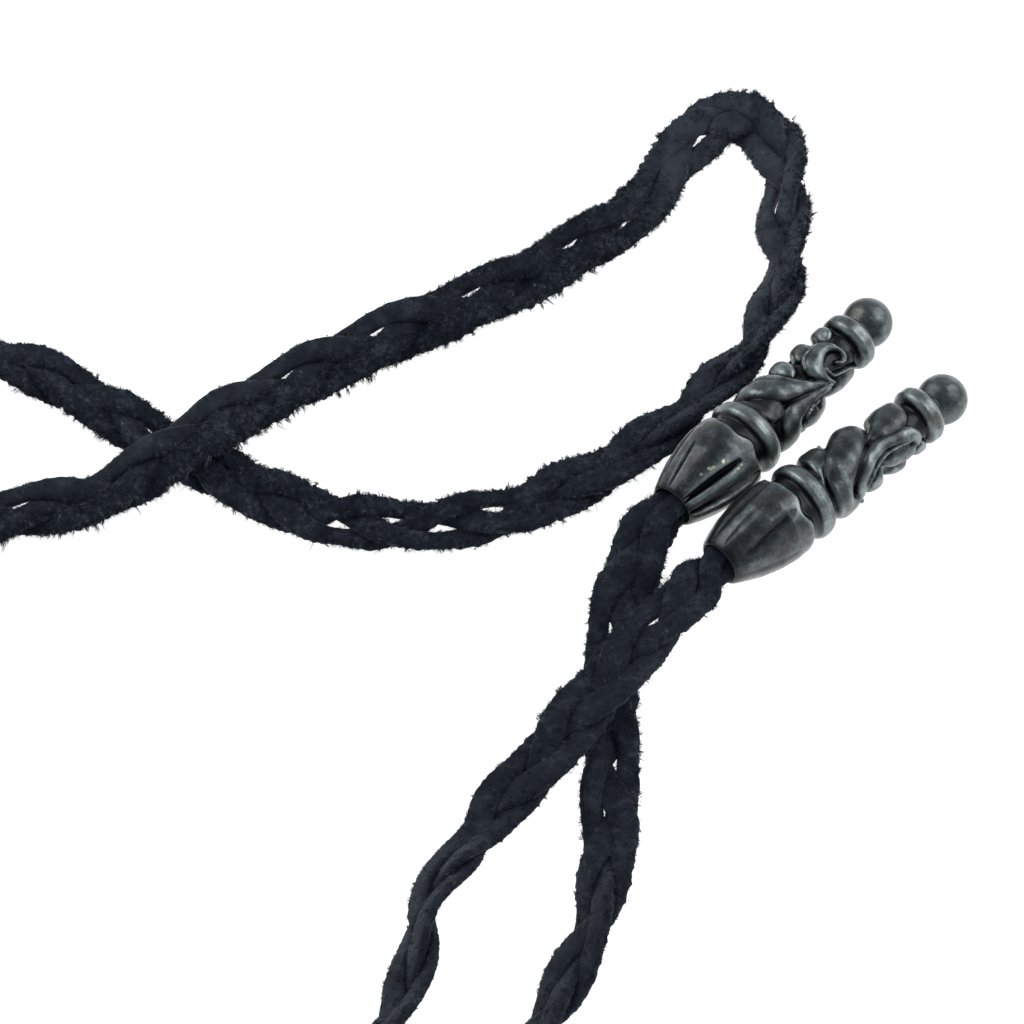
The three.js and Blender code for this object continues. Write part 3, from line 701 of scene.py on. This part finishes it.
# The scrolled leaves, as bands that lie on the stem: at and turn of one edge and of the other,
# and the height between them; first comes how flat each band is across, from 2, round, upwards.
SCROLLS = {
    "leaf": (2.7, [
        (14.6, -112, 17.7, -112, 1.3), (14.8, -88, 18.6, -91, 1.35), (15.1, -62, 19.1, -60, 1.35),
        (16.0, -34, 19.6, -34, 1.3), (17.6, -8, 20.4, -11, 1.25), (19.7, 6, 21.6, 9, 1.15),
        (21.8, 18, 23.0, 30, 1.0), (23.6, 34, 24.1, 40, 0.8),
    ]),
    "field": (5.0, [
        (13.9, -84, 14.5, -84, 0.3), (13.9, -52, 15.0, -50, 0.5), (13.9, -30, 16.1, -27, 0.6),
        (14.0, -10, 17.2, -9, 0.65), (14.7, 5, 17.2, -1, 0.5),
    ]),
    "petal": (2.6, [
        (24.2, 43, 24.4, 48, 0.85), (22.5, 32, 23.2, 51, 1.05), (20.8, 21, 21.4, 48, 1.15),
        (19.1, 14, 20.0, 46, 1.2), (17.3, 15, 19.2, 49, 1.2), (16.0, 24, 18.7, 54, 1.2),
        (15.3, 38, 18.5, 66, 1.2), (14.9, 64, 18.5, 80, 1.3), (14.7, 90, 18.3, 92, 1.4),
        (14.5, 110, 18.2, 106, 1.4), (14.3, 128, 17.2, 124, 1.3), (14.1, 146, 15.9, 141, 1.15),
        (13.9, 164, 14.8, 162, 0.9), (13.8, 184, 14.0, 184, 0.6),
    ]),
    "sweep_low": (2.2, [
        (20.8, 57, 21.6, 57, 0.8), (19.8, 70, 22.9, 70, 1.25), (19.1, 85, 23.2, 85, 1.5),
        (18.8, 100, 23.3, 102, 1.65), (18.4, 112, 23.2, 119, 1.65), (17.5, 126, 22.4, 137, 1.55),
        (16.3, 142, 21.2, 156, 1.45), (15.2, 161, 19.6, 171, 1.4), (14.5, 181, 18.5, 185, 1.4),
        (14.1, 201, 17.6, 201, 1.4), (14.1, 223, 17.2, 223, 1.4), (14.4, 246, 17.4, 246, 1.35),
        (14.6, 262, 17.8, 262, 1.2),
    ]),
    "ridge": (2.3, [
        (25.3, 58, 26.1, 55, 0.7), (24.7, 74, 28.2, 74, 1.0), (24.2, 92, 28.9, 92, 1.2),
        (24.0, 112, 28.9, 120, 1.3), (23.5, 131, 28.3, 152, 1.25), (22.7, 143, 26.4, 168, 1.2),
        (22.1, 151, 24.2, 159, 1.05), (21.6, 157, 22.6, 158, 0.8),
    ]),
    "hook": (2.2, [
        (28.1, 234, 27.1, 231, 0.7), (28.5, 217, 26.7, 215, 1.0), (28.2, 199, 26.2, 207, 1.15),
        (27.4, 182, 25.0, 204, 1.25), (25.4, 167, 24.0, 201, 1.3), (23.2, 160, 23.0, 200, 1.3),
        (21.6, 164, 21.7, 204, 1.3), (20.1, 174, 20.5, 213, 1.3), (19.0, 188, 19.6, 224, 1.25),
        (18.1, 204, 19.0, 237, 1.2), (17.7, 226, 18.8, 252, 1.15), (17.8, 250, 18.9, 268, 0.9),
    ]),
    "hook_heart": (2.0, [
        (22.1, 214, 22.8, 209, 0.5), (22.4, 227, 25.0, 213, 0.85), (23.4, 242, 26.4, 217, 1.05),
        (25.4, 248, 27.3, 228, 1.1), (26.8, 243, 27.4, 233, 0.7),
    ]),
    "hook_rim": (2.0, [
        (27.3, 214, 27.7, 211, 0.3), (26.2, 210, 26.5, 205, 1.15), (24.9, 206, 25.0, 200, 1.35),
        (23.3, 202, 23.3, 196, 1.4), (21.8, 206, 21.6, 200, 1.4), (20.2, 219, 19.9, 215, 1.35),
        (19.1, 236, 18.7, 234, 1.2), (18.7, 256, 18.3, 256, 0.5),
    ]),
    "hook_tail": (2.0, [
        (21.6, 223, 22.1, 221, 0.5), (21.1, 236, 22.0, 233, 0.8), (20.7, 250, 21.8, 249, 0.95),
        (20.4, 266, 21.6, 266, 0.8), (20.4, 282, 21.4, 282, 0.2),
    ]),
    "volute": (2.6, [
        (24.3, 48, 24.8, 45, 0.85), (23.4, 30, 24.4, 31, 0.95), (22.6, 12, 24.5, 17, 1.0),
        (22.1, -8, 24.7, 2, 1.1), (22.4, -27, 25.1, -8, 1.2), (23.6, -39, 25.8, -14, 1.2),
        (25.0, -43, 26.4, -15, 1.2), (26.3, -36, 26.8, -11, 1.1), (27.2, -18, 27.0, -5, 1.05),
        (27.7, 2, 27.2, 3, 1.05), (27.7, 18, 27.1, 13, 1.05), (27.2, 28, 26.8, 19, 1.05),
        (26.4, 26, 26.6, 17, 1.0), (26.0, 19, 26.4, 14, 0.85),
    ]),
    "volute_rim": (2.0, [
        (22.1, -20, 22.5, -18, 1.15), (22.9, -36, 23.3, -32, 1.35), (24.2, -44, 24.4, -38, 1.4),
        (25.6, -45, 25.6, -38, 1.4), (26.6, -34, 26.3, -29, 1.3), (27.4, -14, 27.0, -12, 1.2),
    ]),
    "leaf_rim": (2.0, [
        (18.3, -98, 18.7, -98, 1.35), (18.7, -62, 19.1, -62, 1.45), (19.2, -36, 19.6, -35, 1.4),
        (20.1, -13, 20.5, -11, 1.35), (21.3, 7, 21.7, 9, 1.2), (22.7, 27, 23.0, 29, 1.0),
    ]),
    "petal_rim": (2.0, [
        (24.2, 44, 24.3, 49, 1.0), (23.0, 46, 23.1, 52, 1.2), (21.3, 44, 21.4, 49, 1.35),
        (19.9, 43, 20.1, 48, 1.4), (18.8, 49, 19.1, 53, 1.4), (18.3, 66, 18.7, 67, 1.4),
        (18.1, 88, 18.5, 88, 1.4),
    ]),
    "eye_rim": (2.0, [
        (24.2, 8, 24.6, 9, 1.1), (24.3, 20, 24.7, 19, 1.05), (24.7, 34, 25.1, 32, 1.0),
        (25.8, 44, 26.2, 40, 0.95), (27.2, 53, 27.5, 48, 0.9), (28.6, 74, 29.0, 70, 0.8),
    ]),
    "lobe_low": (2.6, [
        (20.3, -28, 21.1, -28, 0.7), (19.9, -45, 22.1, -45, 1.0), (19.8, -65, 22.5, -65, 1.2),
        (20.0, -85, 22.6, -85, 1.25), (20.4, -104, 22.2, -104, 0.9),
    ]),
    "lobe_middle": (2.6, [
        (23.0, -47, 23.8, -45, 0.7), (22.9, -54, 25.3, -52, 1.0), (23.3, -68, 26.0, -66, 1.2),
        (23.6, -88, 26.2, -88, 1.25), (24.0, -106, 25.8, -106, 0.9),
    ]),
    "lobe_high": (2.6, [
        (27.0, -44, 27.8, -42, 0.6), (26.9, -55, 29.1, -55, 1.0), (27.1, -72, 29.4, -72, 1.15),
        (27.2, -90, 29.4, -90, 1.15), (27.6, -106, 29.0, -106, 0.8),
    ]),
}
# Bright pale specks on the bell, and two painted glints on the ball: at, turn and reach.
BRIGHT_SPECKS_AND_GLINTS = [
    (3.3, -6, 0.32), (4.4, -3, 0.42), (4.9, -1, 0.3), (6.1, 2, 0.3), (7.0, 24, 0.22),
    (7.6, 23, 0.25), (33.4, -3, 0.14), (33.7, 8, 0.14),
]


def smooth_rows(rows, steps):
    """More rows, on a smooth curve through the given ones."""
    rows = np.array(rows, float)
    padded = np.vstack([2 * rows[0] - rows[1], rows, 2 * rows[-1] - rows[-2]])
    share = np.linspace(0, 1, steps, endpoint=False)[:, None]
    made = []
    for a, b, c, d in zip(padded, padded[1:], padded[2:], padded[3:]):
        made.append(
            b
            + (c - a) / 2 * share
            + (2 * a - 5 * b + 4 * c - d) / 2 * share**2
            + (3 * b - 3 * c + d - a) / 2 * share**3
        )
    return np.vstack([*made, rows[-1]])


def turn_from(start, turn):
    """The angle in radians from one turn in degrees to another, the short way round."""
    return np.radians((turn - start + 180) % 360 - 180)


def scroll_height(at, turn, flatness, rows):
    """How high one scrolled leaf stands over the stem at each point."""
    edges = smooth_rows(rows, 9)
    middle = (edges[:, 0] + edges[:, 2]) / 2, (edges[:, 1] + edges[:, 3]) / 2
    wide = np.radians(edges[:, 3] - edges[:, 1]) * STEM_RADIUS
    reach = np.hypot(edges[:, 2] - edges[:, 0], wide) / 2
    height = np.zeros(len(at))
    beside = np.flatnonzero((at > middle[0].min() - 2.5) & (at < middle[0].max() + 2.5))
    away = turn_from(middle[1], turn[beside, None]) * STEM_RADIUS
    gap = np.hypot(at[beside, None] - middle[0], away) / reach
    nearest = gap.argmin(1)
    q = np.clip(gap[np.arange(len(beside)), nearest], 0, 1)
    height[beside] = edges[nearest, 4] * np.sqrt(1 - q**flatness)
    return height


def groove_depth(at, turn, low, low_turn, high, high_turn, width, depth, before, after):
    """An almond groove on the bell, with the swell of the petals on each side of it."""
    share = (at - low) / (high - low)
    middle = low_turn + (high_turn - low_turn) * share
    side = turn_from(middle, turn) * BELL_RADIUS
    open_here = np.sqrt(np.clip(4 * share * (1 - share), 0, 1))
    q = side / (width * np.maximum(open_here, 1e-3))
    cut = depth * open_here * (0.5 + 0.5 * np.cos(math.pi * np.clip(q, -1, 1)))
    swell = np.where(side < 0, before, after) * open_here
    swell = swell * np.exp(-(((np.abs(side) - 1.5 * width) / (0.9 * width)) ** 2))
    return swell - cut


def plain_radius(at):
    """The casting's radius at each distance, before it is carved."""
    corners = np.array(CAP_OUTLINE)
    return np.interp(at, corners[:, 0], corners[:, 1])


def carved_radius(at, turn):
    """The casting's radius at each point."""
    # The outline's corners are rounded off by the mean of eleven steps along it.
    steps = np.arange(-1, 34, 0.02)
    outline = np.pad(plain_radius(steps), 5, mode="edge")
    outline = np.convolve(outline, np.ones(11) / 11, mode="valid")
    bare = np.interp(at, steps, outline)
    relief = np.zeros(len(at))
    for groove in GROOVES:
        relief += groove_depth(at, turn, *groove)
    # The petals end in low rounded tips, a little before the collar.
    around = np.radians(turn)
    tips = 0.26 * np.sin(5 * around + 0.6) + 0.16 * np.sin(9 * around)
    past = smooth_share((at - 9.9 - tips) / 0.7) * np.clip((11.9 - at) / 0.2, 0, 1)
    relief -= np.where(at < 11.0, past * np.clip(bare - 3.8, 0, 2), 0)
    leaves = np.zeros(len(at))
    for flatness, rows in SCROLLS.values():
        leaves = np.maximum(leaves, scroll_height(at, turn, flatness, rows))
    # The stem between the leaves is sunk and uneven; the ring is set on a little askew.
    stem = smooth_share((at - 13.8) / 0.5) * smooth_share((29.9 - at) / 0.5)
    dimple = np.sin(2.1 * at + 3 * around) * np.sin(1.3 * at - 2 * around)
    relief += stem * (leaves + 0.06 * dimple)
    ring = smooth_share((at - 29.4) / 0.4) * smooth_share((32.0 - at) / 0.4)
    relief += ring * 0.12 * np.sin(around + 0.4)
    return bare + relief


def softened(grid, reach):
    """The grid blurred over that many rows and columns; its columns go all the way round."""
    margin = 40
    padded = np.pad(grid, ((margin, margin), (0, 0)), mode="edge")
    rows, columns = (np.fft.fftfreq(size) for size in padded.shape)
    keep = -2 * (math.pi * reach * rows[:, None]) ** 2 - 2 * (math.pi * reach * columns) ** 2
    return np.fft.ifft2(np.fft.fft2(padded) * np.exp(keep)).real[margin:-margin]


def read_grid(grid, at, turn):
    """Values of the grid at those points, between its rows and its columns."""
    row = np.clip((at - GRID_FROM) / GRID_ROW, 0, len(grid) - 1.001)
    column = ((turn + 180) / GRID_TURN) % grid.shape[1]
    i, j = row.astype(int), column.astype(int)
    row, column = row - i, column - j
    after = (j + 1) % grid.shape[1]
    lower = grid[i, j] * (1 - column) + grid[i, after] * column
    upper = grid[i + 1, j] * (1 - column) + grid[i + 1, after] * column
    return lower * (1 - row) + upper * row


def turned_casting():
    """The casting before it is carved: rings of faces drawn out of a disc, and divided finely."""
    # They go down the socket, over the mouth's rim, up the outside, and over the ball.
    rings = [(4.0, SOCKET_RADIUS), (0.3, SOCKET_RADIUS), (0.0, SOCKET_RADIUS + 0.15)]
    rings += [(0.0, CAP_OUTLINE[0][1] - 0.15)]
    rings += [(at, float(plain_radius(at))) for at in np.arange(0.2, NECK_AT, CAP_ROW)]
    neck = math.asin(NECK_RADIUS / BALL_RADIUS)
    for angle in np.linspace(math.pi - neck, 0.12, BALL_RINGS):
        rings.append((BALL_AT + BALL_RADIUS * math.cos(angle), BALL_RADIUS * math.sin(angle)))
    bpy.ops.object.select_all(action="DESELECT")
    bpy.ops.mesh.primitive_circle_add(
        vertices=CAP_SIDES, radius=SOCKET_RADIUS, fill_type="NGON", location=(0, 0, SOCKET_DEPTH)
    )
    cap = bpy.context.object
    bpy.ops.object.transform_apply(location=True)
    bpy.ops.object.mode_set(mode="EDIT")
    bpy.ops.mesh.select_all(action="SELECT")
    last_at, last_radius = SOCKET_DEPTH, SOCKET_RADIUS
    for at, radius in rings:
        bpy.ops.mesh.extrude_region_move(TRANSFORM_OT_translate={"value": (0, 0, at - last_at)})
        share = radius / last_radius
        bpy.ops.transform.resize(value=(share, share, 1), center_override=(0, 0, at))
        last_at, last_radius = at, radius
    bpy.ops.mesh.select_all(action="SELECT")
    bpy.ops.mesh.normals_make_consistent(inside=False)
    bpy.ops.object.mode_set(mode="OBJECT")
    divide = cap.modifiers.new("divide", "SUBSURF")
    divide.levels = divide.render_levels = 2
    bpy.ops.object.modifier_apply(modifier=divide.name)
    bpy.ops.object.shade_smooth()
    return cap


def carve(cap):
    """Carve the casting, and store how rubbed it is, where it has bright specks, and where glints
    are painted on its ball.
    """
    points = np.empty(3 * len(cap.data.vertices))
    cap.data.vertices.foreach_get("co", points)
    points = points.reshape(-1, 3)
    radius = np.hypot(points[:, 0], points[:, 1])
    at, turn = points[:, 2], np.degrees(np.arctan2(points[:, 1], points[:, 0]))
    # The socket and the ball are left plain.
    outer = (at > 0.05) & (at < NECK_AT) & (radius > plain_radius(at) - 0.3)
    grid_at = np.arange(GRID_FROM, NECK_AT + 0.55, GRID_ROW)
    grid_turn = np.arange(-180, 180, GRID_TURN)
    everywhere = np.meshgrid(grid_at, grid_turn, indexing="ij")
    grid = carved_radius(*(part.ravel() for part in everywhere)).reshape(everywhere[0].shape)
    carved = read_grid(grid, at[outer], turn[outer])
    # The carving fades out at the mouth and the neck, which are smooth.
    share = smooth_share(at[outer] / 0.6) * smooth_share((NECK_AT - at[outer]) / 0.3)
    carved = radius[outer] + (carved - radius[outer]) * share
    points[outer, :2] *= (carved / radius[outer])[:, None]
    cap.data.vertices.foreach_set("co", points.ravel())
    # What stands over its surroundings has been rubbed, and what lies under them stays black, as
    # the socket does; the ball is rubbed all over.
    proud = 0.5 + (grid - softened(grid, 3.5)) / 0.4 + (grid - softened(grid, 10)) / 0.9
    proud -= 0.35 * (1 - smooth_share(everywhere[0] / 0.8))
    rubbed = np.where(at < 20, 0.1, 0.69)
    rubbed[outer] = np.clip(read_grid(proud, at[outer], turn[outer]), 0, 1)
    # Bright specks on the bell, and painted glints on the ball, each a soft round patch.
    specks = np.zeros(len(points))
    for speck_at, speck_turn, reach in BRIGHT_SPECKS_AND_GLINTS:
        aside = turn_from(speck_turn, turn) * np.hypot(*points[:, :2].T)
        specks = np.maximum(specks, np.exp(-(((at - speck_at) ** 2 + aside**2) / reach**2)))
    give(cap, "rubbed", rubbed)
    give(cap, "specks_and_painted_glints", specks)


def blackened_silver():
    """Silver blackened in its hollows and rubbed grey on its ridges, with a few bright specks and
    painted glints on the ball.
    """
    material, tree = new_material("blackened_silver")
    place = tree.nodes.new("ShaderNodeTexCoord").outputs["Object"]
    rubbed = given(tree, "rubbed")
    # Where the bright specks and the painted glints on the ball are.
    bare = given(tree, "specks_and_painted_glints")
    cloud = node(tree, "ShaderNodeTexNoise", Vector=place, Scale=620.0, Detail=6.0, Roughness=0.62)
    fine = node(tree, "ShaderNodeTexNoise", Vector=place, Scale=2600.0, Detail=3.0)
    stain = node(tree, "ShaderNodeTexNoise", Vector=place, Scale=330.0, Detail=2.0)
    wear = math_node(tree, "MULTIPLY_ADD", cloud.outputs["Fac"], 0.9, -0.6)
    wear = math_node(tree, "MULTIPLY_ADD", fine.outputs["Fac"], 0.3, wear)
    wear = math_node(tree, "MULTIPLY_ADD", rubbed, 0.95, wear)
    colour = ramp(
        tree,
        wear,
        [
            (0.16, (0.0080, 0.0092, 0.0118)),
            (0.38, (0.020, 0.0225, 0.0275)),
            (0.54, (0.040, 0.046, 0.050)),
            (0.74, (0.087, 0.103, 0.106)),
            (0.98, (0.205, 0.238, 0.238)),
        ],
    )
    brown = ramp(tree, stain.outputs["Fac"], [(0.52, (0, 0, 0)), (0.68, (0.6, 0.6, 0.6))])
    brown = math_node(tree, "MULTIPLY", brown, rubbed)
    colour = node(
        tree, "ShaderNodeMixRGB", Fac=brown, Color1=colour, Color2=(0.085, 0.066, 0.050, 1)
    ).outputs["Color"]
    # The bright specks, and the painted glints on the ball, are mixed into the colour here.
    speck = math_node(tree, "ADD", fine.outputs["Fac"], bare)
    speck = math_node(tree, "MULTIPLY_ADD", speck, 4.0, -4.4)
    speck = math_node(tree, "MINIMUM", math_node(tree, "MAXIMUM", speck, 0.0), 1.0)
    colour = node(
        tree, "ShaderNodeMixRGB", Fac=speck, Color1=colour, Color2=(0.50, 0.49, 0.33, 1)
    ).outputs["Color"]
    rough = node(
        tree,
        "ShaderNodeMapRange",
        Value=cloud.outputs["Fac"],
        From_Min=0.3,
        From_Max=0.7,
        To_Min=0.46,
        To_Max=0.27,
    )
    bump = node(tree, "ShaderNodeBump", Height=fine.outputs["Fac"], Strength=0.35, Distance=0.00012)
    shader = node(
        tree,
        "ShaderNodeBsdfPrincipled",
        Base_Color=colour,
        Metallic=0.85,
        Roughness=rough.outputs["Result"],
        Coat_Weight=0.3,
        Coat_Roughness=0.2,
        Normal=bump.outputs["Normal"],
    )
    node(tree, "ShaderNodeOutputMaterial", Surface=shader.outputs["BSDF"])
    return material


casting = turned_casting()
carve(casting)
casting.data.materials.append(blackened_silver())
for name, cap in CAPS.items():
    laid = casting.copy()
    laid.data = casting.data.copy()
    laid.name = name.replace("end_cap", "cast_cap")
    bpy.context.collection.objects.link(laid)
    way = (
        Matrix.Translation(cap_point(cap, 0))
        @ Matrix.Rotation(math.radians(cap["heading"]), 4, "Z")
        @ Matrix.Rotation(math.pi / 2 + CAP_TILT, 4, "Y")
        @ Matrix.Rotation(math.radians(180 + cap["roll"]), 4, "Z")
        @ Matrix.Scale(MM, 4)
    )
    laid.data.transform(way)
    # The lowest leaves have worn flat on what they lie on.
    for vertex in laid.data.vertices:
        vertex.co.z = max(vertex.co.z, 0.02 * MM)
    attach(laid, BODY)
    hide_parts(name)
bpy.data.objects.remove(casting)

# ---- The surface and the light ----
# A plain white table, lit so evenly that it burns out to white.
bpy.ops.mesh.primitive_circle_add(vertices=96, radius=4.0, fill_type="NGON", location=(0, 0, 0))
table_top = bpy.context.object
table_top.name = "table_top"
white = bpy.data.materials.new("white_table")
white.use_nodes = True
white_shader = white.node_tree.nodes["Principled BSDF"]
white_shader.inputs["Base Color"].default_value = (0.55, 0.55, 0.55, 1)
white_shader.inputs["Roughness"].default_value = 0.9
white_shader.inputs["Emission Color"].default_value = (1.0, 1.0, 1.0, 1)
white_shader.inputs["Emission Strength"].default_value = 0.93
table_top.data.materials.append(white)

# The surroundings are brightest low down, and so the sides of the caps catch some light.
world = bpy.data.worlds.new("studio")
world.use_nodes = True
sky = world.node_tree
direction = sky.nodes.new("ShaderNodeTexCoord").outputs["Generated"]
height = node(sky, "ShaderNodeSeparateXYZ", Vector=direction).outputs["Z"]
glow = ramp(
    sky, height, [(0.0, (0.95, 1.0, 1.05)), (0.3, (0.6, 0.65, 0.70)), (0.85, (0.26, 0.29, 0.32))]
)
sky.links.new(glow, sky.nodes["Background"].inputs["Color"])
sky.nodes["Background"].inputs["Strength"].default_value = 0.9
bpy.context.scene.world = world


def soft_light(name, place, aim, size, power):
    """A square lamp of that size in metres, turned to what it is aimed at."""
    bpy.ops.object.light_add(type="AREA", location=place)
    lamp = bpy.context.object
    lamp.name = name
    lamp.data.size = size
    lamp.data.energy = power
    lamp.rotation_mode = "QUATERNION"
    lamp.rotation_quaternion = (Vector(aim) - Vector(place)).to_track_quat("-Z", "Y")


soft_light("left_window", (-0.7, 0.5, 0.8), (0, 0, 0), 0.9, 6.0)
soft_light("right_window", (0.8, 0.3, 0.7), (0, 0, 0), 0.9, 6.0)
bpy.context.scene.view_settings.view_transform = "Standard"
